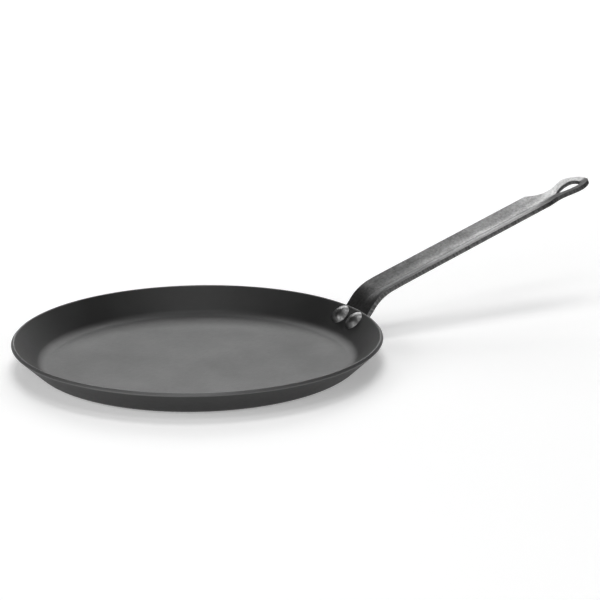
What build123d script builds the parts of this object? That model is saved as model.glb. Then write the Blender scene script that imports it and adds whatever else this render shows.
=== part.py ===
from build123d import *
import os
from math import asin, atan, cos, degrees, radians, sin, tan

# Crepe pan of carbon steel: a shallow pressed body with a flared wall, and a strip handle
# that follows the wall, bends outwards past the rim and is held by two solid rivets.
# Millimetres, +Z up. The origin is the centre of the underside, where the pan stands,
# and the handle points along +X.

# Pan body
rim_diameter = 240.0
pan_height = 18.7
sheet_thickness = 2.5
wall_angle = 43.3
base_corner_radius = 14.0
rim_edge_round = 0.9

# Handle strip: a flat tab, then a trough pressed along the shank
strip_thickness = 3.0
tab_width = 27.8
shank_width = 25.8
shoulder_width = 24.9
trough_depth = 4.0
strip_end_bulge = 0.35

# Handle path: along the wall, a bend past the rim, then a straight rising shank
tab_below_rivets = 8.5
tab_corner_radius = 6.0
bend_beyond_rim = 14.2
bend_radius = 33.0
shank_angle = 18.0
shank_length = 185.2
trough_to_bend_corner = 16.5

# Hanging eye: a narrow neck and a rounded head with a teardrop hole, pressed flatter
shoulder_to_tip = 44.2
neck_to_tip = 26.1
widest_to_tip = 11.8
neck_width = 15.7
eye_width = 22.5
end_to_tip = 5.6
end_width = 16.8
nose_to_tip = 2.0
nose_width = 10.2
eye_lift = 0.65
eye_trough_depth = 2.1
hole_width = 10.5
hole_length = 20.0
hole_to_tip = 6.3

# Rivets: a domed head inside the pan, a formed head outside the handle
rivet_below_rim = 8.3
rivet_edge_distance = 5.2
rivet_diameter = 6.0
rivet_head_diameter = 14.4
rivet_head_height = 3.0
formed_head_diameter = 12.0
formed_head_height = 2.4

# Fits and cuts
seat_clearance = 0.05
rivet_clearance = 0.05
cut_overrun = 6.0

# Share of the trough's depth reached at even steps through the bend
bend_depth_shares = [0.46, 0.60, 0.72, 0.82, 0.91]
# Share of the change from the shank's section to the eye's, at even steps from shoulder to neck
neck_change_shares = [0.0, 0.16, 0.5, 0.84, 1.0]
# Height of each half section's middle, as a share of its edge's height: a quarter is a plain
# bow, a half is a straight slope
tab_bow_share = 0.25
shank_bow_share = 0.32
eye_bow_share = 0.42
# Steepness with which the eye's outline leaves the shoulder: its fall for each length along
shoulder_slope_share = 0.45

# The wall: its sharp outer corners, before the edge is rounded and the base is bent
wall_slope = radians(wall_angle)
edge_allowance = rim_edge_round * (sin(wall_slope) + cos(wall_slope) - 1)
rim_radius = rim_diameter / 2 + edge_allowance
rim_low_height = pan_height + edge_allowance - sheet_thickness * cos(wall_slope)
base_radius = rim_radius - rim_low_height / tan(wall_slope)


def wall_plane(azimuth, below_rim, outwards):
    """Plane on the wall: x up the slope, z towards the inside, outwards from the inner face."""
    turn = radians(azimuth)
    inner_radius = rim_radius - sheet_thickness * sin(wall_slope)
    inner_height = rim_low_height + sheet_thickness * cos(wall_slope)
    radius = inner_radius - below_rim * cos(wall_slope) + outwards * sin(wall_slope)
    height = inner_height - below_rim * sin(wall_slope) - outwards * cos(wall_slope)
    up_slope = (cos(wall_slope) * cos(turn), cos(wall_slope) * sin(turn), sin(wall_slope))
    inwards = (-sin(wall_slope) * cos(turn), -sin(wall_slope) * sin(turn), cos(wall_slope))
    origin = (radius * cos(turn), radius * sin(turn), height)
    return Plane(origin=origin, x_dir=up_slope, z_dir=inwards)


# Two rivets side by side, each at one distance from its edge of the strip and square to the wall
rivet_spacing = tab_width - 2 * rivet_edge_distance
rivet_radius = wall_plane(0, rivet_below_rim, 0).origin.X
rivet_azimuth = degrees(asin(rivet_spacing / 2 / rivet_radius))
rivet_hole_radius = rivet_diameter / 2 + rivet_clearance
rivet_planes = {
    "rivet_right": wall_plane(-rivet_azimuth, rivet_below_rim, 0),
    "rivet_left": wall_plane(rivet_azimuth, rivet_below_rim, 0),
}

# The pan body is one outline turned round the vertical axis, with a hole for each rivet
with BuildPart() as pan_body:
    with BuildSketch(Plane.XZ) as wall_section:
        with BuildLine():
            outer_line = FilletPolyline(
                (0, 0), (base_radius, 0), (rim_radius, rim_low_height), radius=base_corner_radius
            )
            offset(outer_line, amount=sheet_thickness, side=Side.LEFT, closed=True)
        make_face()
        fillet(wall_section.vertices().sort_by(Axis.Y)[-2:], rim_edge_round)
    revolve(axis=Axis.Z)
    with Locations(*rivet_planes.values()):
        Hole(rivet_hole_radius)

# The handle's path runs in the XZ plane: the tab's line and the shank's line meet at the corner
tab_start = wall_plane(0, 0, sheet_thickness + seat_clearance).origin
shank_slope = radians(shank_angle)
bend_turn = wall_slope - shank_slope
bend_tangent = bend_radius * tan(bend_turn / 2)
corner_x = tab_start.X + bend_beyond_rim * cos(wall_slope)
corner_z = tab_start.Z + bend_beyond_rim * sin(wall_slope)


def tab_plane(to_corner):
    """Plane across the tab, at a distance before the corner: x to the left, y off the top face."""
    origin = (corner_x - to_corner * cos(wall_slope), 0, corner_z - to_corner * sin(wall_slope))
    return Plane(origin=origin, x_dir=(0, 1, 0), z_dir=(cos(wall_slope), 0, sin(wall_slope)))


def bend_plane(share):
    """Plane across the bend, at a share of its turn."""
    start = tab_plane(bend_tangent).origin
    slope = wall_slope - bend_turn * share
    centre_x = start.X + bend_radius * sin(wall_slope)
    centre_z = start.Z - bend_radius * cos(wall_slope)
    origin = (centre_x - bend_radius * sin(slope), 0, centre_z + bend_radius * cos(slope))
    return Plane(origin=origin, x_dir=(0, 1, 0), z_dir=(cos(slope), 0, sin(slope)))


def shank_plane(from_corner):
    """Plane across the shank, at a distance past the corner."""
    origin = (corner_x + from_corner * cos(shank_slope), 0, corner_z + from_corner * sin(shank_slope))
    return Plane(origin=origin, x_dir=(0, 1, 0), z_dir=(cos(shank_slope), 0, sin(shank_slope)))


def strip_section(plane, width, depth, bow_share, lift=0):
    """Section of the strip: two halves that rise from the crease to the edges, one thickness."""
    half = width / 2
    rise = atan(depth / half)
    bow = 2 * atan((1 - 2 * bow_share) * depth / half * cos(rise) ** 2)
    across = strip_thickness * sin(rise)
    down = strip_thickness * cos(rise)
    edge_across = strip_thickness * sin(rise + bow)
    edge_down = strip_thickness * cos(rise + bow)
    middle = (half / 2, lift + bow_share * depth)
    edge = (half, lift + depth)
    low_middle = (half / 2 + across, lift + bow_share * depth - down)
    low_edge = (half + edge_across, lift + depth - edge_down)
    bulge = (
        half + edge_across / 2 + strip_end_bulge * cos(rise + bow),
        lift + depth - edge_down / 2 + strip_end_bulge * sin(rise + bow),
    )
    low_crease = (0, lift - strip_thickness)
    with BuildSketch(plane) as section:
        with BuildLine():
            ThreePointArc((0, lift), middle, edge)
            ThreePointArc(edge, bulge, low_edge)
            ThreePointArc(low_edge, low_middle, low_crease)
            mirror(about=Plane.YZ)
        make_face()
    return section.sketch


def tab_section(plane):
    """The tab's section lies against the cone of the wall."""
    depth = (tab_width / 2) ** 2 * sin(wall_slope) / (2 * plane.origin.X)
    return strip_section(plane, tab_width, depth, tab_bow_share)


def bend_section(plane, depth_share):
    """The trough deepens along the bend while the strip draws narrower."""
    width = tab_width - (tab_width - shank_width) * depth_share**2
    bow_share = tab_bow_share + (shank_bow_share - tab_bow_share) * depth_share
    return strip_section(plane, width, trough_depth * depth_share, bow_share)


def neck_section(step_share, change_share):
    """The trough grows shallower and lifts from the shoulder to the neck."""
    from_corner = shank_length - shoulder_to_tip + (shoulder_to_tip - neck_to_tip) * step_share
    depth = trough_depth + (eye_trough_depth - trough_depth) * change_share
    bow_share = shank_bow_share + (eye_bow_share - shank_bow_share) * change_share
    plane = shank_plane(from_corner)
    return strip_section(plane, shoulder_width, depth, bow_share, eye_lift * change_share)


# Stations along the path, from the foot of the tab to the tip of the eye
foot = tab_section(tab_plane(bend_beyond_rim + rivet_below_rim + tab_below_rivets))
rim = tab_section(tab_plane(bend_beyond_rim))
bend_steps = len(bend_depth_shares) - 1
bend = [
    bend_section(bend_plane(step / bend_steps), share)
    for step, share in enumerate(bend_depth_shares)
]
trough = strip_section(shank_plane(trough_to_bend_corner), shank_width, trough_depth, shank_bow_share)
neck_steps = len(neck_change_shares) - 1
neck = [
    neck_section(step / neck_steps, share)
    for step, share in enumerate(neck_change_shares)
]
end = strip_section(
    shank_plane(shank_length + cut_overrun), shoulder_width, eye_trough_depth, eye_bow_share, eye_lift
)

# Planes that look square onto the tab and onto the shank, for cutting their outlines
tab_foot_plane = wall_plane(0, rivet_below_rim + tab_below_rivets, sheet_thickness)
tip = shank_plane(shank_length).origin
along_shank = (cos(shank_slope), 0, sin(shank_slope))
off_shank = (-sin(shank_slope), 0, cos(shank_slope))
tip_plane = Plane(origin=tip, x_dir=along_shank, z_dir=off_shank)

with BuildPart() as handle:
    loft([foot, rim], ruled=True)
    loft([rim, *bend, trough])
    loft([trough, neck[0]], ruled=True)
    loft(neck)
    loft([neck[-1], end], ruled=True)

    # The foot's corners are rounded
    with BuildSketch(tab_foot_plane):
        Rectangle(2 * tab_corner_radius, tab_width + cut_overrun)
        with Locations((tab_corner_radius + cut_overrun, 0)):
            RectangleRounded(
                2 * (tab_corner_radius + cut_overrun), tab_width, tab_corner_radius, mode=Mode.SUBTRACT
            )
    extrude(amount=2 * cut_overrun, both=True, mode=Mode.SUBTRACT)

    # The neck and the eye's head are cut from the strip
    with BuildSketch(tip_plane):
        with Locations((-shoulder_to_tip, 0)):
            Rectangle(
                shoulder_to_tip + 2 * cut_overrun, 2 * shoulder_width, align=(Align.MIN, Align.CENTER)
            )
        with BuildLine(mode=Mode.PRIVATE) as head_outline:
            Spline(
                (-shoulder_to_tip, shoulder_width / 2),
                (-neck_to_tip, neck_width / 2),
                (-widest_to_tip, eye_width / 2),
                (-end_to_tip, end_width / 2),
                (-nose_to_tip, nose_width / 2),
                (0, 0),
                tangents=[(1, -shoulder_slope_share), (0, -1)],
            )
            mirror(about=Plane.XZ)
            Line((-shoulder_to_tip, shoulder_width / 2), (-shoulder_to_tip, -shoulder_width / 2))
        make_face(head_outline.edges(), mode=Mode.SUBTRACT)
    extrude(amount=2 * cut_overrun, both=True, mode=Mode.SUBTRACT)

    # The teardrop hole: a round end towards the tip, and two flanks that meet in a point
    with BuildSketch(tip_plane):
        with BuildLine():
            point = (-hole_to_tip - hole_length, 0)
            round_centre = (-hole_to_tip - hole_width / 2, 0)
            flank_end = (round_centre[0], hole_width / 2)
            CenterArc(round_centre, hole_width / 2, 0, 90)
            TangentArc(flank_end, point, tangent=(-1, 0))
            mirror(about=Plane.XZ)
        make_face()
    extrude(amount=2 * cut_overrun, both=True, mode=Mode.SUBTRACT)

    with Locations(*rivet_planes.values()):
        Hole(rivet_hole_radius)

# Each rivet is one outline turned round its own axis, its head shaped to the wall's curve
grip = sheet_thickness + seat_clearance + strip_thickness


def dome_arc(radius, height, base, up):
    """Arc of a shallow dome, from its rim to its top, above or below the base."""
    ball_radius = (radius**2 + height**2) / (2 * height)
    rim_angle = degrees(asin((ball_radius - height) / ball_radius))
    centre = (0, base + up * (height - ball_radius))
    return CenterArc(centre, ball_radius, up * rim_angle, up * (90 - rim_angle))


rivets = {}
for name, plane in rivet_planes.items():
    turning_plane = Plane(origin=plane.origin, x_dir=plane.x_dir, z_dir=-plane.y_dir)
    with BuildPart() as rivet:
        with BuildSketch(turning_plane):
            with BuildLine():
                dome_arc(rivet_head_diameter / 2, rivet_head_height, 0, 1)
                dome_arc(formed_head_diameter / 2, formed_head_height, -grip, -1)
                Polyline(
                    (rivet_head_diameter / 2, 0),
                    (rivet_diameter / 2, 0),
                    (rivet_diameter / 2, -grip),
                    (formed_head_diameter / 2, -grip),
                )
                Line((0, rivet_head_height), (0, -grip - formed_head_height))
            make_face()
        revolve(axis=Axis(plane.origin, plane.z_dir))
        add(pan_body.part, mode=Mode.SUBTRACT)
    rivets[name] = rivet.part

pieces = {"pan_body": pan_body.part, "handle": handle.part, **rivets}
os.makedirs("parts", exist_ok=True)
for name, piece in pieces.items():
    piece.label = name
    export_step(piece, f"parts/{name}.step")
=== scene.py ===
import math

import bmesh
import bpy
import numpy as np
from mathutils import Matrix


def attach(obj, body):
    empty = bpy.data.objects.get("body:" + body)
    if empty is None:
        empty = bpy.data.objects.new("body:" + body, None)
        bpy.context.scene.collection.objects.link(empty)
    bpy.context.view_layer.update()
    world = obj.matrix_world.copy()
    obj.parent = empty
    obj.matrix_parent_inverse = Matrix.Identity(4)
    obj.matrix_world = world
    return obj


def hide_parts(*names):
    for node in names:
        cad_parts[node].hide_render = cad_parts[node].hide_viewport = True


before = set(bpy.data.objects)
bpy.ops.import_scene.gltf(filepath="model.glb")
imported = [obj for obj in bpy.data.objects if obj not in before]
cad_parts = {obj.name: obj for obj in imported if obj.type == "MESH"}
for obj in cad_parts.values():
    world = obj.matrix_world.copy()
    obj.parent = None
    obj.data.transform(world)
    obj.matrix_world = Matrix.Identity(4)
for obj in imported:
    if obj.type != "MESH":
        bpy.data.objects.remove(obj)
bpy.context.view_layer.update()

mm = 0.001
samePoint = 1e-6                 # millimetres: points of a line nearer than this are one
mergeReach = 2e-7                # metres: border points of two grids nearer than this are one
thinEdge = 1e-8
print("frame:", sorted(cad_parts))


# centre + radius * (cos, sin) at even angles, in degrees
def arcPoints(centre, radius, startAngle, endAngle, count):
    angles = np.radians(np.linspace(startAngle, endAngle, count))
    return np.stack([centre[0] + radius * np.cos(angles), centre[1] + radius * np.sin(angles)], 1)


# points laid end to end, each one kept only where it has moved on from the last
def joinLines(*lines):
    points = np.concatenate(lines)
    step = np.hypot(*np.diff(points, axis=0).T)
    return points[np.concatenate([[True], step > samePoint])]


# start + (end - start) * share, without the two ends
def betweenPoints(start, end, count):
    share = np.linspace(0, 1, count + 2)[1:-1, None]
    return np.array(start) + (np.array(end) - np.array(start)) * share


# cubic between stations, each station's slope the mean of its neighbours' and nought at a turn
def flowThrough(stations, values, x):
    stations, values = np.array(stations, float), np.array(values, float)
    slope = np.diff(values) / np.diff(stations)
    tangent = np.concatenate([[slope[0]], (slope[:-1] + slope[1:]) / 2, [slope[-1]]])
    flat = np.concatenate([[False], slope[:-1] * slope[1:] <= 0, [False]])
    tangent[flat] = 0
    i = np.clip(np.searchsorted(stations, x) - 1, 0, len(stations) - 2)
    width = stations[i + 1] - stations[i]
    t = np.clip((x - stations[i]) / width, 0, 1)
    rise = values[i] * (1 + 2 * t) * (1 - t) ** 2 + values[i + 1] * t**2 * (3 - 2 * t)
    return rise + width * (tangent[i] * t * (1 - t) ** 2 + tangent[i + 1] * t**2 * (t - 1))


# piecewise cubic whose slope and bend run on through every point, with given end directions
def splineThrough(points, startWay, endWay, count):
    points = np.array(points, float)
    chord = np.hypot(*np.diff(points, axis=0).T)
    n = len(points)
    system = np.zeros((n, n))
    side = np.zeros((n, 2))
    system[0, 0] = system[-1, -1] = 1
    side[0], side[-1] = startWay, endWay
    for i in range(1, n - 1):
        before, after = chord[i - 1], chord[i]
        system[i, i - 1 : i + 2] = [after, 2 * (before + after), before]
        side[i] = 3 * (
            after / before * (points[i] - points[i - 1]) + before / after * (points[i + 1] - points[i])
        )
    way = np.linalg.solve(system, side)
    place = np.concatenate([[0], np.cumsum(chord)])
    s = np.linspace(0, place[-1], count)
    i = np.clip(np.searchsorted(place, s) - 1, 0, n - 2)
    width = chord[i][:, None]
    t = (s - place[i])[:, None] / width
    return (
        points[i] * (1 + 2 * t) * (1 - t) ** 2
        + points[i + 1] * t**2 * (3 - 2 * t)
        + width * (way[i] * t * (1 - t) ** 2 + way[i + 1] * t**2 * (t - 1))
    )


# how far along a line each of its points is: the sum of the steps before it
def lengthsAlong(points):
    return np.concatenate([[0], np.cumsum(np.hypot(*np.diff(points, axis=0).T))])


# points at given shares of a line's length
def alongLine(points, shares):
    length = lengthsAlong(points)
    want = np.array(shares) * length[-1]
    return np.stack([np.interp(want, length, points[:, 0]), np.interp(want, length, points[:, 1])], 1)


# right-hand side of the way from the point before to the point after, one long
def sideways(points):
    way = np.gradient(points, axis=0)
    way /= np.hypot(*way.T)[:, None]
    return np.stack([way[:, 1], -way[:, 0]], 1)


# four corners of each cell, where a point's number is row * columns + column
def gridFaces(rows, columns, closed=False):
    spans = columns if closed else columns - 1
    row, column = np.meshgrid(np.arange(rows - 1), np.arange(spans), indexing="ij")
    near, far = row * columns, (row + 1) * columns
    across = (column + 1) % columns
    return np.stack([near + column, near + across, far + across, far + column], -1).reshape(-1, 4)


# an object at the origin from grids of points in millimetres: their points one after another, their
# faces' numbers moved on to match, and the border points that two grids share merged into one
def newPiece(name, grids, strip=None):
    points = np.concatenate([grid.reshape(-1, 3) for grid, cells in grids])
    starts = np.cumsum([0] + [grid.size // 3 for grid, cells in grids])
    faces = np.concatenate([cells + start for (grid, cells), start in zip(grids, starts)])
    mesh = bpy.data.meshes.new(name)
    mesh.from_pydata((points * mm).tolist(), [], faces.tolist())
    if strip is not None:
        layer = mesh.attributes.new("strip", "FLOAT_VECTOR", "POINT")
        layer.data.foreach_set("vector", np.ascontiguousarray(strip * mm, np.float32).ravel())
    shell = bmesh.new()
    shell.from_mesh(mesh)
    bmesh.ops.remove_doubles(shell, verts=shell.verts, dist=mergeReach)
    bmesh.ops.dissolve_degenerate(shell, edges=shell.edges, dist=thinEdge)
    bmesh.ops.recalc_face_normals(shell, faces=shell.faces)
    shell.to_mesh(mesh)
    openEdges = sum(1 for edge in shell.edges if len(edge.link_faces) != 2)
    shell.free()
    mesh.polygons.foreach_set("use_smooth", np.ones(len(mesh.polygons), bool))
    mesh.update()
    piece = bpy.data.objects.new(name, mesh)
    bpy.context.scene.collection.objects.link(piece)
    print("piece:", name, len(mesh.vertices), "points,", openEdges, "open edges")
    return piece


# a profile of (radius, height) turned round the vertical axis: radius * (cos, sin), height
def turnedGrid(profile, turns):
    angle = np.linspace(0, 2 * np.pi, turns, endpoint=False)
    radius, height = profile[:, 0][:, None], profile[:, 1][:, None]
    grid = np.stack([radius * np.cos(angle), radius * np.sin(angle), height + 0 * angle], -1)
    return grid, gridFaces(len(profile), turns, closed=True)


# lengths here and in the other shapes are millimetres, and angles are degrees
panShape = {
    "rimRadius": 119.98,
    "height": 18.69,
    "sheet": 2.5,
    "wallAngle": 43.3,
    "baseBend": 14.0,            # outer radius between base and wall
    "edgeRound": 0.45,
    "turns": 384,
    "flatPoints": 34,
    "bendPoints": 26,
    "wallPoints": 14,
    "edgePoints": 8,
    "crown": 0.15,               # the base's middle stands this much higher than its edge
    "crownRadius": 102,
    "crownPower": 1.5,
    "floorWave": 0.03,           # height of the floor's waves, then each one's length and start
    "waveX": (31, 0.7),
    "waveY": (37, -0.4),
    "waveBoth": (23, 1.9),
    "waveBothShare": 0.6,
    "topOver": 1.0,              # what is higher than this belongs to the inside
    "rimWave": 0.05,             # depth of the rim's dips, then how many and where
    "rimDips": (3, 0.8),
    "wallFrom": 100,
    "wallRun": 20,
}


# the sheet's section: flat base, bend, sloping wall, rounded edge, and back inside one sheet higher
def panSection(shape):
    wall, bend, bendPoints = shape["wallAngle"], shape["baseBend"], shape["bendPoints"]
    edge, sheet, edgePoints = shape["edgeRound"], shape["sheet"], shape["edgePoints"]
    slope = math.radians(wall)
    up = np.array([math.cos(slope), math.sin(slope)])
    across = np.array([-math.sin(slope), math.cos(slope)])
    allowance = edge * (math.sin(slope) + math.cos(slope) - 1)
    lowCorner = np.array(
        [shape["rimRadius"] + allowance, shape["height"] + allowance - sheet * math.cos(slope)]
    )
    highCorner = lowCorner + sheet * across
    bendStart = lowCorner[0] - lowCorner[1] / math.tan(slope) - bend * math.tan(slope / 2)
    outerBend = arcPoints((bendStart, bend), bend, -90, wall - 90, bendPoints)
    innerBend = arcPoints((bendStart, bend), bend - sheet, wall - 90, -90, bendPoints)
    lowRound = arcPoints(lowCorner - edge * up + edge * across, edge, wall - 90, wall, edgePoints)
    highRound = arcPoints(highCorner - edge * up - edge * across, edge, wall, wall + 90, edgePoints)
    flat = np.linspace(0, bendStart, shape["flatPoints"])[:, None]
    return joinLines(
        np.concatenate([flat, 0 * flat], 1),
        outerBend,
        betweenPoints(outerBend[-1], lowRound[0], shape["wallPoints"]),
        lowRound,
        highRound,
        betweenPoints(highRound[-1], innerBend[0], shape["wallPoints"]),
        innerBend,
        np.concatenate([flat[::-1], sheet + 0 * flat], 1),
    )


# the turned section, made a little untrue: the base raised by crown * (1 - (r / crownRadius) squared)
# to the power crownPower, the floor raised by the product of a wave in x and one in y plus a share of
# one in x + y, and the rim lowered by a wave in its angle
def makePanBody(shape):
    grid, faces = turnedGrid(panSection(shape), shape["turns"])
    x, y = grid[..., 0], grid[..., 1]
    radius = np.hypot(x, y)
    angle = np.arctan2(y, x)
    (lengthX, startX), (lengthY, startY) = shape["waveX"], shape["waveY"]
    lengthBoth, startBoth = shape["waveBoth"]
    raised = np.clip(1 - (radius / shape["crownRadius"]) ** 2, 0, 1) ** shape["crownPower"]
    grid[..., 2] += shape["crown"] * raised
    wave = np.sin(x / lengthX + startX) * np.cos(y / lengthY + startY)
    wave = wave + shape["waveBothShare"] * np.sin((x + y) / lengthBoth + startBoth)
    inner = np.sqrt(np.clip(1 - radius / shape["wallFrom"], 0, 1)) * (grid[..., 2] > shape["topOver"])
    grid[..., 2] += shape["floorWave"] * wave * inner
    rim = np.clip((radius - shape["wallFrom"]) / shape["wallRun"], 0, 1) ** 2
    dips, dipStart = shape["rimDips"]
    grid[..., 2] -= shape["rimWave"] * rim * (1 + np.sin(dips * angle + dipStart)) / 2
    return newPiece("panBody", [(grid, faces)])


# the handle's places are distances along the strip from the foot of its tab
handleShape = {
    "thickness": 3.0,
    "cornerX": 130.741,          # where the tab's line and the shank's line meet
    "cornerZ": 26.955,
    "tabAngle": 43.3,
    "shankAngle": 18.0,
    "tabToCorner": 31.0,
    "bendRadius": 33.0,
    "shankLength": 185.2,        # from the corner to the tip
    "footRound": 6.0,
    "edgeRound": 0.5,
    "holeRound": 0.4,
    "creaseRound": 0.25,
    "creaseScore": 0.12,         # a fine score left along the crease by the press
    "scoreWidth": 0.45,
    "edgeBulge": 0.18,
    "bulgeFade": 4.0,            # the bulge fades out over this length before the shoulder
    "tabFlat": 16.8,             # the tab is plain up to here
    "bendToTrough": 9.1,
    "pastTip": 8.0,
    # at the foot, the tab's flat, five places in the bend, the full trough, shoulder, neck, past the tip
    "halfWidths": [13.9, 13.9, 13.69, 13.54, 13.38, 13.23, 13.07, 12.9, 12.45, 12.45, 12.45],
    "troughDepths": [0.59, 0.60, 1.84, 2.40, 2.88, 3.28, 3.64, 4.0, 4.0, 2.1, 2.1],
    "veeShares": [0, 0, 0.13, 0.17, 0.20, 0.23, 0.25, 0.28, 0.28, 0.68, 0.68],
    "creaseLifts": [0, 0, 0, 0, 0, 0, 0, 0, 0, 0.65, 0.65],
    "shoulderToTip": 44.2,
    "shoulderSlope": 0.45,
    "neckToTip": 26.1,
    "neckHalf": 7.85,
    "widestToTip": 11.8,
    "widestHalf": 11.25,
    "endToTip": 5.6,
    "endHalf": 8.4,
    "holeToTip": 6.3,
    "holeRadius": 5.25,
    "holeLength": 20.0,
    "ringLead": 3.4,             # the ring round the hole starts this far before its point
    "ringRows": 12,
    "columns": 16,               # from the crease to one border, closer together near the crease
    "columnPower": 1.6,
    "pointShare": 0.24,          # of the hole's outline, met by the ring's first row of columns
    "footPoints": 9,
    "sideBreak": 60.0,           # rows along the side before and after this place
    "sideRows": (44, 60),
    "neckRows": 26,
    "headColumns": 44,           # from the neck to the tip, closer together near the tip
    "headPower": 1.5,
    "roundPoints": 6,
    "samples": (600, 200, 160),  # of the head's spline, the hole's flank and its round end, before thinning
}
bendAngle = math.radians(handleShape["tabAngle"] - handleShape["shankAngle"])
bendTangent = handleShape["bendRadius"] * math.tan(bendAngle / 2)
bendLength = handleShape["bendRadius"] * bendAngle
tabLength = handleShape["tabToCorner"] - bendTangent
bendEnd = tabLength + bendLength
stripLength = bendEnd + handleShape["shankLength"] - bendTangent
shoulderAt = stripLength - handleShape["shoulderToTip"]
neckAt = stripLength - handleShape["neckToTip"]
holeTip = stripLength - handleShape["holeToTip"]
ringAt = holeTip - handleShape["holeLength"] - handleShape["ringLead"]
stations = [
    0,
    handleShape["tabFlat"],
    *[tabLength + bendLength * share for share in (0, 0.25, 0.5, 0.75, 1)],
    bendEnd + handleShape["bendToTrough"],
    shoulderAt,
    neckAt,
    stripLength + handleShape["pastTip"],
]
headPoints = [
    (shoulderAt, handleShape["halfWidths"][-1]),
    (neckAt, handleShape["neckHalf"]),
    (stripLength - handleShape["widestToTip"], handleShape["widestHalf"]),
    (stripLength - handleShape["endToTip"], handleShape["endHalf"]),
    (stripLength, 0),
]


# a straight line, then an arc that turns down, then a straight line: x, z and slope of the crease
def creasePath(along):
    shape = handleShape
    tab, shank = math.radians(shape["tabAngle"]), math.radians(shape["shankAngle"])
    radius = shape["bendRadius"]
    startX = shape["cornerX"] - bendTangent * math.cos(tab)
    startZ = shape["cornerZ"] - bendTangent * math.sin(tab)
    before = np.minimum(along - tabLength, 0)
    slope = tab - np.clip(along - tabLength, 0, bendLength) / radius
    after = np.maximum(along - bendEnd, 0)
    x = startX + before * math.cos(tab) + radius * (math.sin(tab) - np.sin(slope)) + after * math.cos(shank)
    z = startZ + before * math.sin(tab) + radius * (np.cos(slope) - math.cos(tab)) + after * math.sin(shank)
    return x, z, slope


# the crease's path raised square to itself by lift + depth * (vee * e + (1 - vee) * e * e), where e
# is the distance from the crease over the strip's half width, less a bell-shaped score on the crease
def stripTop(along, across):
    shape = handleShape
    x, z, slope = creasePath(along)
    soft = shape["creaseRound"]
    share = (np.sqrt(across**2 + soft**2) - soft) / flowThrough(stations, shape["halfWidths"], along)
    depth = flowThrough(stations, shape["troughDepths"], along)
    vee = flowThrough(stations, shape["veeShares"], along)
    height = flowThrough(stations, shape["creaseLifts"], along)
    height = height + depth * (vee * share + (1 - vee) * share**2)
    score = shape["creaseScore"] * depth / max(shape["troughDepths"])
    height = height - score * np.exp(-((across / shape["scoreWidth"]) ** 2))
    return np.stack([x - height * np.sin(slope), across + 0 * x, z + height * np.cos(slope)], -1)


# a point of the top, moved down its own normal by depth: the normal is the cross product of the steps
# forward and to the left
def stripPoint(along, across, depth):
    step = 0.02
    forward = stripTop(along + step, across) - stripTop(along - step, across)
    leftward = stripTop(along, across + step) - stripTop(along, across - step)
    normal = np.cross(forward, leftward)
    normal /= np.linalg.norm(normal, axis=-1)[..., None]
    return stripTop(along, across) - np.asarray(depth)[..., None] * normal


# rows down an edge, from the top's border to the bottom's: a quarter circle, three rows down the side,
# and a quarter circle, each row as its distance out, its share of the bulge, and its depth
def edgeRows(rounding, thickness, count):
    angle = np.radians(np.linspace(0, 90, count))
    out, down = rounding * np.sin(angle), rounding * (1 - np.cos(angle))
    side, bulge = np.array([0.3, 0.5, 0.7]), np.array([0.75, 1, 0.75])
    return (
        np.concatenate([out, rounding + 0 * side, out[::-1]]),
        np.concatenate([0 * out, bulge, 0 * out]),
        np.concatenate([down, side * thickness, thickness - down[::-1]]),
    )


# half outline of the strip, its outward normals, and how many of its points come before the ring: a
# quarter circle at the foot, the half width along the side, and one spline from the shoulder to the tip
def stripOutline(shape):
    foot, sideBreak = shape["footRound"], shape["sideBreak"]
    nearRows, farRows = shape["sideRows"]
    corner = arcPoints((foot, shape["halfWidths"][0] - foot), foot, 180, 90, shape["footPoints"])
    nearSide, farSide = np.linspace(foot, sideBreak, nearRows), np.linspace(sideBreak, shoulderAt, farRows)
    sideAt = np.concatenate([nearSide[1:], farSide[1:]])
    side = np.stack([sideAt, flowThrough(stations, shape["halfWidths"], sideAt)], 1)
    head = splineThrough(headPoints, (1, -shape["shoulderSlope"]), (0, -1), shape["samples"][0])
    neck = alongLine(head[head[:, 0] < ringAt], np.linspace(0, 1, shape["neckRows"]))[1:]
    around = 1 - (1 - np.linspace(0, 1, shape["headColumns"])) ** shape["headPower"]
    eye = alongLine(head[head[:, 0] >= ringAt], around)[1:]
    outline = np.concatenate([corner, side, neck, eye])
    outwards = -sideways(outline)
    outwards[0], outwards[-1] = (-1, 0), (1, 0)
    return outline, outwards, len(outline) - len(eye)


# half outline of the teardrop hole and its inward normals, at given shares of its length: a long arc
# from the point, then a quarter circle. At the point both flanks move in together, by one over the sine
def holeOutline(shape, shares):
    radius, flankRun = shape["holeRadius"], shape["holeLength"] - shape["holeRadius"]
    flankRadius = (flankRun**2 + radius**2) / (2 * radius)
    roundAt = holeTip - radius
    pointAngle = 90 + math.degrees(math.asin(flankRun / flankRadius))
    flankSamples, roundSamples = shape["samples"][1:]
    flank = arcPoints((roundAt, radius - flankRadius), flankRadius, pointAngle, 90, flankSamples)
    line = alongLine(joinLines(flank, arcPoints((roundAt, 0), radius, 90, 0, roundSamples)), shares)
    inwards = sideways(line)
    inwards[0], inwards[-1] = (flankRadius / flankRun, 0), (-1, 0)
    return line, inwards


# a half line and its mirror image as one loop, the two end points taken once
def mirrorLoop(half):
    return np.concatenate([half, half[-2:0:-1] * [1, -1]])


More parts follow.
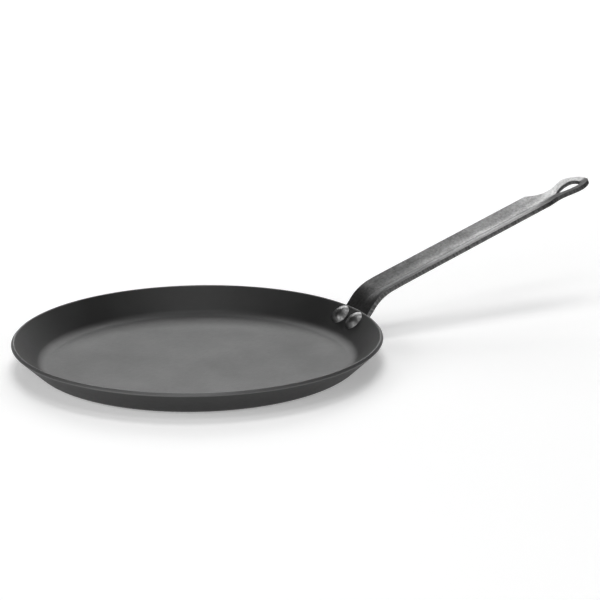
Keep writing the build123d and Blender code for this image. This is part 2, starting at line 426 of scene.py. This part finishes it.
# the strip's top and bottom as a band and a ring, each point at stripPoint(along, across, depth), and
# rows of edge round the outline and the hole
def makeHandle(shape):
    columns, pointShare = shape["columns"], shape["pointShare"]
    clustered = (np.arange(columns + 1) / columns) ** shape["columnPower"]
    spread = np.concatenate([-clustered[:0:-1], clustered])
    outline, outwards, bandRows = stripOutline(shape)
    border = outline - shape["edgeRound"] * outwards

    # the band from the foot to the ring: rows across the strip, drawn in to the border line
    bandAt = outline[:bandRows, 0]
    middle = bandAt + shape["edgeRound"] * np.clip(1 - bandAt / shape["footRound"], 0, 1)
    bandX = middle[:, None] + (border[:bandRows, 0] - middle)[:, None] * spread**2
    band = np.stack([bandX, border[:bandRows, 1][:, None] * spread], -1)

    # the ring round the teardrop hole: straight lines from the hole's border to the head's border
    eyeLength = lengthsAlong(outline[bandRows - 1 :])
    eyeShares = pointShare + (1 - pointShare) * (eyeLength / eyeLength[-1])[1:]
    holeLine, holeInwards = holeOutline(shape, np.concatenate([pointShare * clustered, eyeShares]))
    holeBorder = holeLine - shape["holeRound"] * holeInwards
    outerHalf = np.concatenate([band[-1, columns:], border[bandRows:]])
    rows = np.linspace(0, 1, shape["ringRows"])[:, None, None]
    half = holeBorder + (outerHalf - holeBorder) * rows
    ring = np.concatenate([half, half[:, -2:0:-1] * [1, -1]], 1)

    grids, strips = [], []

    # a grid of (along, across) at a depth, and the same numbers kept for the finish
    def addSheet(flat, depth, closed):
        depth = np.broadcast_to(depth, flat.shape[:-1])
        grids.append((stripPoint(flat[..., 0], flat[..., 1], depth), gridFaces(*flat.shape[:2], closed)))
        strips.append(np.concatenate([flat, depth[..., None]], -1).reshape(-1, 3))

    # line + normal * (out + bulge share * bulge), row by row down the edge
    def addEdge(line, normals, rounding, bulge):
        out, bulgeShare, down = edgeRows(rounding, shape["thickness"], shape["roundPoints"])
        reach = out[:, None] + bulgeShare[:, None] * bulge
        addSheet(line + normals * reach[..., None], down[:, None] + 0 * reach, True)

    for depth in (0.0, shape["thickness"]):
        addSheet(band, depth, False)
        addSheet(ring, depth, True)
    footRow = band[0]
    left, leftNormals = border[1:], outwards[1:]
    loop = np.concatenate([footRow, left, left[-2::-1] * [1, -1]])
    footNormals = np.tile([-1.0, 0.0], (len(footRow), 1))
    loopNormals = np.concatenate([footNormals, leftNormals, leftNormals[-2::-1] * [1, -1]])
    bulge = shape["edgeBulge"] * np.clip((shoulderAt - loop[:, 0]) / shape["bulgeFade"], 0, 1)
    addEdge(loop, loopNormals, shape["edgeRound"], bulge)
    holeLoop = mirrorLoop(holeBorder)
    addEdge(holeLoop, mirrorLoop(holeInwards), shape["holeRound"], np.zeros(len(holeLoop)))
    return newPiece("handleStrip", grids, np.concatenate(strips))


rivetShape = {
    "wallAngle": 43.3,
    "radius": 112.617,           # where the rivets cross the wall's inner face
    "height": 13.38,
    "azimuth": 4.431,            # of each rivet from the handle's middle line
    "headRadius": 7.2,
    "headHeight": 3.0,
    "headEdge": 0.5,
    "headSteepness": 8,          # how sharply the low edge turns down at the rim
    "headPoints": 30,
    "shankRadius": 3.0,
    "grip": 5.55,                # through the wall and the tab
    "formedRadius": 6.0,
    "formedHeight": 2.4,
    "formedPoints": 22,
    "turns": 96,
    "dents": 0.05,
    "dentsRound": (3, 2.1),      # how many round the head, and how far turned
    "dentsWound": (2, -0.6),
    "dentRun": 2.2,
    "dentsOver": 0.3,            # only what stands higher than this is dented
}


# the higher of a ball's cap, which is the ball's height less what lies under the cap's rim, and a low
# edge that falls steeply to the rim
def capLine(radius, height, base, way, edge, steepness, count):
    ball = (radius**2 + height**2) / (2 * height)
    out = np.sin(np.linspace(0, math.pi / 2, count)) * radius
    over = np.sqrt(ball**2 - out**2) - (ball - height)
    lift = np.maximum(over, edge * np.sqrt(np.clip(1 - (out / radius) ** steepness, 0, 1)))
    return np.stack([out, base + way * lift], 1)


# a cap inside the wall, a shank and a flatter cap outside, turned about the rivet's own axis. The
# inner head is dented by the mean of a wave of three round it and one of two that winds outwards
def makeRivet(shape, name, side):
    edge, grip, shank = (shape["headEdge"], shape["headSteepness"]), shape["grip"], shape["shankRadius"]
    inner = capLine(shape["headRadius"], shape["headHeight"], 0, 1, *edge, shape["headPoints"])
    outer = capLine(shape["formedRadius"], shape["formedHeight"], -grip, -1, *edge, shape["formedPoints"])
    profile = joinLines(inner, [[shank, 0.0], [shank, -grip]], outer[::-1])
    grid, faces = turnedGrid(profile, shape["turns"])
    angle = np.arctan2(grid[..., 1], grid[..., 0])
    radius = np.hypot(grid[..., 0], grid[..., 1])
    (rounds, roundTurn), (winds, windTurn) = shape["dentsRound"], shape["dentsWound"]
    dent = np.sin(rounds * angle + roundTurn * side)
    dent = dent + np.sin(winds * angle + windTurn + radius / shape["dentRun"])
    dent = dent / 2 * np.sin(np.clip(radius / shape["headRadius"], 0, 1) * math.pi)
    grid[..., 2] += shape["dents"] * dent * (grid[..., 2] > shape["dentsOver"])
    turn, slope = math.radians(side * shape["azimuth"]), math.radians(shape["wallAngle"])
    outWay = np.array([math.cos(turn), math.sin(turn), 0])
    upWay = np.array([0, 0, 1])
    up = math.cos(slope) * outWay + math.sin(slope) * upWay
    inwards = -math.sin(slope) * outWay + math.cos(slope) * upWay
    across = np.cross(inwards, up)
    centre = shape["radius"] * outWay + shape["height"] * upWay
    placed = centre + grid[..., :1] * up + grid[..., 1:2] * across + grid[..., 2:] * inwards
    return newPiece(name, [(placed, faces)])


panBody = makePanBody(panShape)
handleStrip = makeHandle(handleShape)
rivetLeft = makeRivet(rivetShape, "rivetLeft", 1)
rivetRight = makeRivet(rivetShape, "rivetRight", -1)
for piece, node, slotName in (
    (panBody, "pan_body", "pan_steel"),
    (handleStrip, "handle", "handle_steel"),
    (rivetLeft, "rivet_left", "rivet_steel"),
    (rivetRight, "rivet_right", "rivet_steel"),
):
    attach(piece, "root")
    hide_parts(node)
print("pieces stand for their nodes")


# a neutral colour, the same value three times
def grey(value):
    return (value, value, value, 1)


class Finish:
    # a material's node tree, with short calls for its nodes
    def __init__(self, name):
        self.material = bpy.data.materials.new(name)
        self.material.use_nodes = True
        self.tree = self.material.node_tree
        self.shader = next(n for n in self.tree.nodes if n.type == "BSDF_PRINCIPLED")
        self.count = 0

    # a new node, eight to a row, whose inputs are linked to sockets or set to plain values
    def node(self, kind, inputs=None, **settings):
        made = self.tree.nodes.new(kind)
        self.count += 1
        made.location = (-220 * (self.count % 8) - 240, -180 * (self.count // 8))
        for key, value in settings.items():
            setattr(made, key, value)
        for key, value in (inputs or {}).items():
            if isinstance(value, bpy.types.NodeSocket):
                self.tree.links.new(value, made.inputs[key])
            else:
                made.inputs[key].default_value = value
        return made

    def link(self, socket, name):
        self.tree.links.new(socket, self.shader.inputs[name])

    def set(self, name, value):
        self.shader.inputs[name].default_value = value

    # low + (high - low) * smooth step of the value between from and to
    def ramp(self, value, fromValue, toValue, low, high):
        inputs = {"Value": value, "From Min": fromValue, "From Max": toValue, "To Min": low, "To Max": high}
        return self.node("ShaderNodeMapRange", inputs, interpolation_type="SMOOTHSTEP").outputs["Result"]

    # scale is in lumps for each metre
    def noise(self, vector, scale, detail, roughness):
        inputs = {"Vector": vector, "Scale": scale, "Detail": detail, "Roughness": roughness}
        return self.node("ShaderNodeTexNoise", inputs).outputs["Fac"]

    def stretched(self, vector, scale):
        return self.node("ShaderNodeMapping", {"Vector": vector, "Scale": scale}).outputs["Vector"]

    def maths(self, operation, a, b=0.0):
        return self.node("ShaderNodeMath", {0: a, 1: b}, operation=operation).outputs[0]

    def plus(self, a, b):
        return self.maths("ADD", a, b)

    def times(self, a, b):
        return self.maths("MULTIPLY", a, b)

    def squared(self, value):
        return self.times(value, value)

    # value + (noise - a half) * reach, which makes a border ragged
    def ragged(self, value, noise, reach):
        return self.plus(value, self.times(self.maths("SUBTRACT", noise, 0.5), reach))

    # a + (b - a) * factor, or a with b laid over it in another mode: 0, 6 and 7 are the colour sockets
    def blend(self, factor, a, b, mode="MIX"):
        inputs = {0: factor, 6: a, 7: b}
        return self.node("ShaderNodeMix", inputs, data_type="RGBA", blend_type=mode).outputs[2]

    # colour * tone
    def shaded(self, colour, tone):
        return self.blend(1.0, colour, tone, "MULTIPLY")

    def bump(self, height, strength, distance, normal=None):
        inputs = {"Height": height, "Strength": strength, "Distance": distance}
        if normal is not None:
            inputs["Normal"] = normal
        return self.node("ShaderNodeBump", inputs).outputs["Normal"]


# a span is where a smooth step starts and ends, a noise is its scale, detail and roughness, and a bump
# is its strength and its height in metres
panFinish = {
    "dark": 0.006,
    "light": 0.011,
    "cloudSpan": (0.35, 0.68),
    "rimMetal": 0.13,            # the cut edge, rubbed bare
    "rimMetallic": 0.8,
    "rimSpan": (0.0979, 0.0987),  # metres out along the wall's slope
    "rimRagged": 0.0012,
    "roughSpan": (0.3, 0.72),
    "roughLow": 0.46,
    "roughHigh": 0.58,
    "ior": 1.45,
    "clouds": (22, 5, 0.6),
    "rolled": (260, 4, 0.65),
    "rolledStretch": (1.0, 14.0, 1.0),
    "fine": (2400, 3, 0.6),
    "rolledBump": (0.10, 0.0002),
    "fineBump": (0.12, 0.00008),
}


# dark oiled steel: a cloudy colour, bare metal where radius * cos + height * sin of the wall's angle is
# past the rim's span, and a roughness from the mean of the clouds and the rolled grain
def finishPan(look):
    finish = Finish("darkPanSteel")
    place = finish.node("ShaderNodeTexCoord").outputs["Object"]
    clouds = finish.noise(place, *look["clouds"])
    rolled = finish.noise(finish.stretched(place, look["rolledStretch"]), *look["rolled"])
    fine = finish.noise(place, *look["fine"])
    cloudShare = finish.ramp(clouds, *look["cloudSpan"], 0, 1)
    colour = finish.blend(cloudShare, grey(look["dark"]), grey(look["light"]))
    parts = finish.node("ShaderNodeSeparateXYZ", {"Vector": place}).outputs
    radius = finish.maths("SQRT", finish.plus(finish.squared(parts["X"]), finish.squared(parts["Y"])))
    slope = math.radians(panShape["wallAngle"])
    reach = finish.plus(finish.times(radius, math.cos(slope)), finish.times(parts["Z"], math.sin(slope)))
    edgeShare = finish.ramp(finish.ragged(reach, clouds, look["rimRagged"]), *look["rimSpan"], 0, 1)
    finish.link(finish.blend(edgeShare, colour, grey(look["rimMetal"])), "Base Color")
    finish.link(finish.times(edgeShare, look["rimMetallic"]), "Metallic")
    mixed = finish.plus(finish.times(clouds, 0.5), finish.times(rolled, 0.5))
    finish.link(finish.ramp(mixed, *look["roughSpan"], look["roughLow"], look["roughHigh"]), "Roughness")
    finish.set("IOR", look["ior"])
    bumped = finish.bump(rolled, *look["rolledBump"])
    finish.link(finish.bump(fine, *look["fineBump"], bumped), "Normal")
    return finish.material


# the strip's own places are metres along it from the foot, across it to the left, and down from its top
handleFinish = {
    "dark": 0.22,
    "light": 0.40,
    "toneSpan": (0.36, 0.64),
    "patchShare": 0.4,
    "ragged": 0.022,             # how far the borders below wander along the strip
    "dusk": 0.45,                # the colour is this dark near the bend, and lightens along the shank
    "duskSpan": (0.035, 0.13),
    "tabDark": 0.085,              # how dark the tab and the bend are
    "tabDarkRange": (0.8, 1.5),
    "tabDarkSpan": (0.024, 0.060),
    "eyePaintSpan": (0.150, 0.186),   # where the painted light and shade on the eye start
    "borderShade": 0.48,         # painted shade towards the shank's left border
    "borderSpan": (0.0, 0.0125),
    "eyePaintedLight": 1.2,              # and a painted highlight on the eye's left half
    "eyeShade": 0.20,            # how dark the painted shade makes the eye's right half beside the left
    "rightSpan": (-0.0009, -0.0001),
    "creaseShade": 0.12,                # painted shade along the crease
    "creaseShadeShare": 0.55,
    "creaseSpan": (0.0002, 0.0008),
    "edgePaintedShade": 0.16,             # the strip's edges, darkened as painted shade
    "shearedSpan": (0.35, 0.65),
    "shearedRange": (0.6, 1.25),
    "edgeSpan": (0.00008, 0.0005),
    "edgeRough": 0.1,
    "eyeEdgePaintedShade": 0.03,             # painted shade on the edges of the eye and its hole
    "eyeEdgePaintedShare": 0.5,
    "grazing": 0.50,             # how much of a low glance the scale still throws back
    "roughSpan": (0.35, 0.68),
    "roughLow": 0.34,
    "roughHigh": 0.48,
    "mottle": (520, 6, 0.68),
    "patch": (110, 4, 0.6),
    "patchStretch": (0.6, 1.4, 1),
    "grain": (900, 3, 0.6),
    "grainStretch": (1, 9, 1),
    "cloud": (70, 5, 0.65),
    "tear": (700, 4, 0.6),
    "tearStretch": (1, 1, 0.15),
    "pit": (1500, 2, 0.5),
    "pitSpan": (0.28, 0.42),
    "mottleBump": (0.25, 0.00015),
    "grainBump": (0.10, 0.00006),
    "pitBump": (0.12, 0.00005),
}


# bare pressed steel: mottled grey scale, darker near the bend, painted shade towards the shank's left
# border, a painted highlight on the eye's left half and painted shade on its right, a darker tab and bend,
# painted shade along the crease, edges in painted shade with torn streaks, fine pits, and a grey Specular
# Tint that keeps low glances from turning white
def finishHandle(look):
    finish = Finish("greyHandleSteel")
    strip = finish.node("ShaderNodeAttribute", attribute_name="strip").outputs["Vector"]
    parts = finish.node("ShaderNodeSeparateXYZ", {"Vector": strip}).outputs
    along, across, depth = parts["X"], parts["Y"], parts["Z"]
    mottle = finish.noise(strip, *look["mottle"])
    patch = finish.noise(finish.stretched(strip, look["patchStretch"]), *look["patch"])
    grain = finish.noise(finish.stretched(strip, look["grainStretch"]), *look["grain"])
    cloud = finish.noise(strip, *look["cloud"])
    tear = finish.noise(finish.stretched(strip, look["tearStretch"]), *look["tear"])
    pits = finish.ramp(finish.noise(strip, *look["pit"]), *look["pitSpan"], 0, 1)
    tone = finish.plus(finish.times(mottle, 1 - look["patchShare"]), finish.times(patch, look["patchShare"]))
    toneShare = finish.ramp(tone, *look["toneSpan"], 0, 1)
    raggedAlong = finish.ragged(along, cloud, look["ragged"])
    # where the painted light and shade on the eye start, along a ragged line
    eyePaintShare = finish.ramp(raggedAlong, *look["eyePaintSpan"], 0, 1)

    colour = finish.blend(toneShare, grey(look["dark"]), grey(look["light"]))
    colour = finish.shaded(colour, finish.ramp(raggedAlong, *look["duskSpan"], look["dusk"], 1))
    # painted shade towards the shank's left border
    borderTone = finish.ramp(across, *look["borderSpan"], 1, look["borderShade"])
    # a painted highlight on the eye's left half takes over from the border's painted shade
    toEyePaintedLight = finish.times(eyePaintShare, finish.maths("SUBTRACT", look["eyePaintedLight"], borderTone))
    colour = finish.shaded(colour, finish.plus(borderTone, toEyePaintedLight))
    # painted shade on the eye's right half
    eyeRightPaintedShade = finish.times(finish.ramp(across, *look["rightSpan"], 1, 0), eyePaintShare)
    colour = finish.blend(eyeRightPaintedShade, colour, finish.shaded(colour, grey(look["eyeShade"])))
    low, high = look["tabDarkRange"]
    tabDark = finish.blend(toneShare, grey(look["tabDark"] * low), grey(look["tabDark"] * high))
    colour = finish.blend(finish.ramp(raggedAlong, *look["tabDarkSpan"], 1, 0), colour, tabDark)
    # painted shade along the crease
    fromCrease = finish.maths("ABSOLUTE", across)
    creaseShadeMask = finish.ramp(fromCrease, *look["creaseSpan"], look["creaseShadeShare"], 0)
    colour = finish.blend(creaseShadeMask, colour, grey(look["creaseShade"]))
    # the strip's edges in painted shade, streaked by torn noise
    edgeTone = finish.ramp(tear, *look["shearedSpan"], *look["shearedRange"])
    edge = finish.shaded(grey(look["edgePaintedShade"]), edgeTone)
    # painted shade on the edges of the eye and its hole
    edge = finish.blend(finish.times(eyePaintShare, look["eyeEdgePaintedShare"]), edge, grey(look["eyeEdgePaintedShade"]))
    edgeShare = finish.ramp(depth, *look["edgeSpan"], 0, 1)
    finish.link(finish.blend(edgeShare, colour, edge), "Base Color")

    finish.set("Metallic", 1.0)
    finish.set("Specular Tint", grey(look["grazing"]))
    rough = finish.ramp(tone, *look["roughSpan"], look["roughHigh"], look["roughLow"])
    finish.link(finish.plus(rough, finish.times(edgeShare, look["edgeRough"])), "Roughness")
    bumped = finish.bump(mottle, *look["mottleBump"])
    bumped = finish.bump(grain, *look["grainBump"], bumped)
    finish.link(finish.bump(pits, *look["pitBump"], bumped), "Normal")
    return finish.material


rivetFinish = {
    "dark": 0.12,
    "light": 0.20,
    "blotchSpan": (0.38, 0.64),
    "roughSpan": (0.35, 0.66),
    "roughLow": 0.31,
    "roughHigh": 0.44,
    "blotch": (380, 5, 0.62),
    "dent": (620, 2, 0.4),
    "dentBump": (0.25, 0.00015),
    "blotchBump": (0.12, 0.00006),
}


# hammered plain steel: blotches that are brighter and smoother, over small dents
def finishRivets(look):
    finish = Finish("hammeredRivetSteel")
    place = finish.node("ShaderNodeTexCoord").outputs["Object"]
    blotch = finish.noise(place, *look["blotch"])
    dent = finish.noise(place, *look["dent"])
    blotchShare = finish.ramp(blotch, *look["blotchSpan"], 0, 1)
    finish.link(finish.blend(blotchShare, grey(look["dark"]), grey(look["light"])), "Base Color")
    finish.set("Metallic", 1.0)
    finish.link(finish.ramp(blotch, *look["roughSpan"], look["roughHigh"], look["roughLow"]), "Roughness")
    bumped = finish.bump(dent, *look["dentBump"])
    finish.link(finish.bump(blotch, *look["blotchBump"], bumped), "Normal")
    return finish.material


for pieces, nodes, material in (
    ([panBody], ["pan_body"], finishPan(panFinish)),
    ([handleStrip], ["handle"], finishHandle(handleFinish)),
    ([rivetLeft, rivetRight], ["rivet_left", "rivet_right"], finishRivets(rivetFinish)),
):
    for piece in pieces + [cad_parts[node] for node in nodes]:
        piece.data.materials.clear()
        piece.data.materials.append(material)
print("materials on")


# places and sizes from here on are metres
floorLook = {
    "size": 60.0,
    "colour": 0.85,
    "lift": 0.29,                # the floor's own white near the pan, beside what the lamps give it
    "farLift": 1.0,              # and beyond the lamps' reach
    "near": 1.0,
    "far": 2.6,
}


# a pale matt floor, lifted to white where the camera, a reflection or a sight through glass meets it:
# the lift goes by a smooth step from lift to farLift as the distance from the middle goes from near to far
def makeFloor(look):
    half = look["size"] / 2
    points = [(-half, -half, 0), (half, -half, 0), (half, half, 0), (-half, half, 0)]
    mesh = bpy.data.meshes.new("studioFloor")
    mesh.from_pydata(points, [], [(0, 1, 2, 3)])
    floor = bpy.data.objects.new("studioFloor", mesh)
    bpy.context.scene.collection.objects.link(floor)
    finish = Finish("paleFloor")
    output = next(n for n in finish.tree.nodes if n.type == "OUTPUT_MATERIAL")
    finish.tree.nodes.remove(finish.shader)
    path = finish.node("ShaderNodeLightPath").outputs
    seen = finish.maths("MAXIMUM", path["Is Camera Ray"], path["Is Glossy Ray"])
    seen = finish.maths("MAXIMUM", seen, path["Is Transmission Ray"])
    place = finish.node("ShaderNodeTexCoord").outputs["Object"]
    distance = finish.node("ShaderNodeVectorMath", {0: place}, operation="LENGTH").outputs["Value"]
    lift = finish.ramp(distance, look["near"], look["far"], look["lift"], look["farLift"])
    matt = finish.node("ShaderNodeBsdfDiffuse", {"Color": grey(look["colour"])})
    glow = finish.node("ShaderNodeEmission", {"Strength": finish.times(seen, lift)})
    both = finish.node("ShaderNodeAddShader", {0: matt.outputs[0], 1: glow.outputs[0]})
    finish.tree.links.new(both.outputs[0], output.inputs["Surface"])
    mesh.materials.append(finish.material)


# turn is the compass angle from the camera's far side towards its right, and rise the height, in degrees
cameraTurn = -27.2
lampAway = 2.2
lampMiddle = np.array([0.05, 0, 0])
lamps = {
    "backBox": {"turn": 2, "rise": 30, "size": (1.7, 0.86), "power": 20.5},
    "backHighBox": {"turn": 1, "rise": 50, "size": (0.8, 0.5), "power": 3.3},
    "topBox": {"turn": 0, "rise": 84, "size": (1.0, 0.9), "power": 12.5},
    "highBox": {"turn": 183, "rise": 62, "size": (0.54, 0.46), "power": 4.8},
    "frontBox": {"turn": 200, "rise": 26, "size": (1.6, 0.94), "power": 12.0},
    "leftBox": {"turn": 243, "rise": 27, "size": (1.3, 0.94), "power": 11.0},
    "rightBox": {"turn": 132, "rise": 29, "size": (2.4, 0.94), "power": 6.0},
}


# a rectangular lamp on a ball round the pan, facing its middle: middle + away * (sin turn * cos rise,
# cos turn * cos rise, sin rise)
def makeLamp(name, look):
    turn = math.radians(look["turn"] - cameraTurn)
    rise = math.radians(look["rise"])
    way = np.array([math.sin(turn) * math.cos(rise), math.cos(turn) * math.cos(rise), math.sin(rise)])
    data = bpy.data.lights.new(name, "AREA")
    data.shape = "RECTANGLE"
    data.size, data.size_y = look["size"]
    data.energy = look["power"]
    lamp = bpy.data.objects.new(name, data)
    lamp.location = (lampMiddle + lampAway * way).tolist()
    lamp.rotation_euler = (math.pi / 2 - rise, 0, math.pi - turn)
    bpy.context.scene.collection.objects.link(lamp)


# paler low down, darker overhead: the fade is over these heights on a ball of radius one
worldLook = {"low": 0.6, "high": 0.01, "fadeFrom": 0.13, "fadeTo": 0.27}


# a plain grey sky whose strength is low + (high - low) * smooth step of the height
def makeWorld(look):
    world = bpy.data.worlds.new("studio")
    bpy.context.scene.world = world
    world.use_nodes = True
    tree = world.node_tree
    background = next(n for n in tree.nodes if n.type == "BACKGROUND")
    background.inputs["Color"].default_value = grey(1)
    place = tree.nodes.new("ShaderNodeTexCoord")
    parts = tree.nodes.new("ShaderNodeSeparateXYZ")
    level = tree.nodes.new("ShaderNodeMapRange")
    level.interpolation_type = "SMOOTHSTEP"
    level.inputs["From Min"].default_value = look["fadeFrom"]
    level.inputs["From Max"].default_value = look["fadeTo"]
    level.inputs["To Min"].default_value = look["low"]
    level.inputs["To Max"].default_value = look["high"]
    tree.links.new(place.outputs["Generated"], parts.inputs["Vector"])
    tree.links.new(parts.outputs["Z"], level.inputs["Value"])
    tree.links.new(level.outputs["Result"], background.inputs["Strength"])


cameraLook = {
    "lens": 150,
    "place": (-0.706947, -1.375571, 0.492096),
    "turn": (73.7531, 0.4704, -29.7986),
    "farClip": 50,
}


# the camera that the pan's rim, floor and base outlines were fitted to
def makeCamera(look):
    data = bpy.data.cameras.new("photoCamera")
    data.lens = look["lens"]
    data.clip_end = look["farClip"]
    camera = bpy.data.objects.new("photoCamera", data)
    camera.location = look["place"]
    camera.rotation_euler = [math.radians(angle) for angle in look["turn"]]
    bpy.context.scene.collection.objects.link(camera)
    bpy.context.scene.camera = camera


makeFloor(floorLook)
for lampName, lampLook in lamps.items():
    makeLamp(lampName, lampLook)
makeWorld(worldLook)
makeCamera(cameraLook)
bpy.context.scene.view_settings.view_transform = "Standard"
print("stage, lamps and camera on")
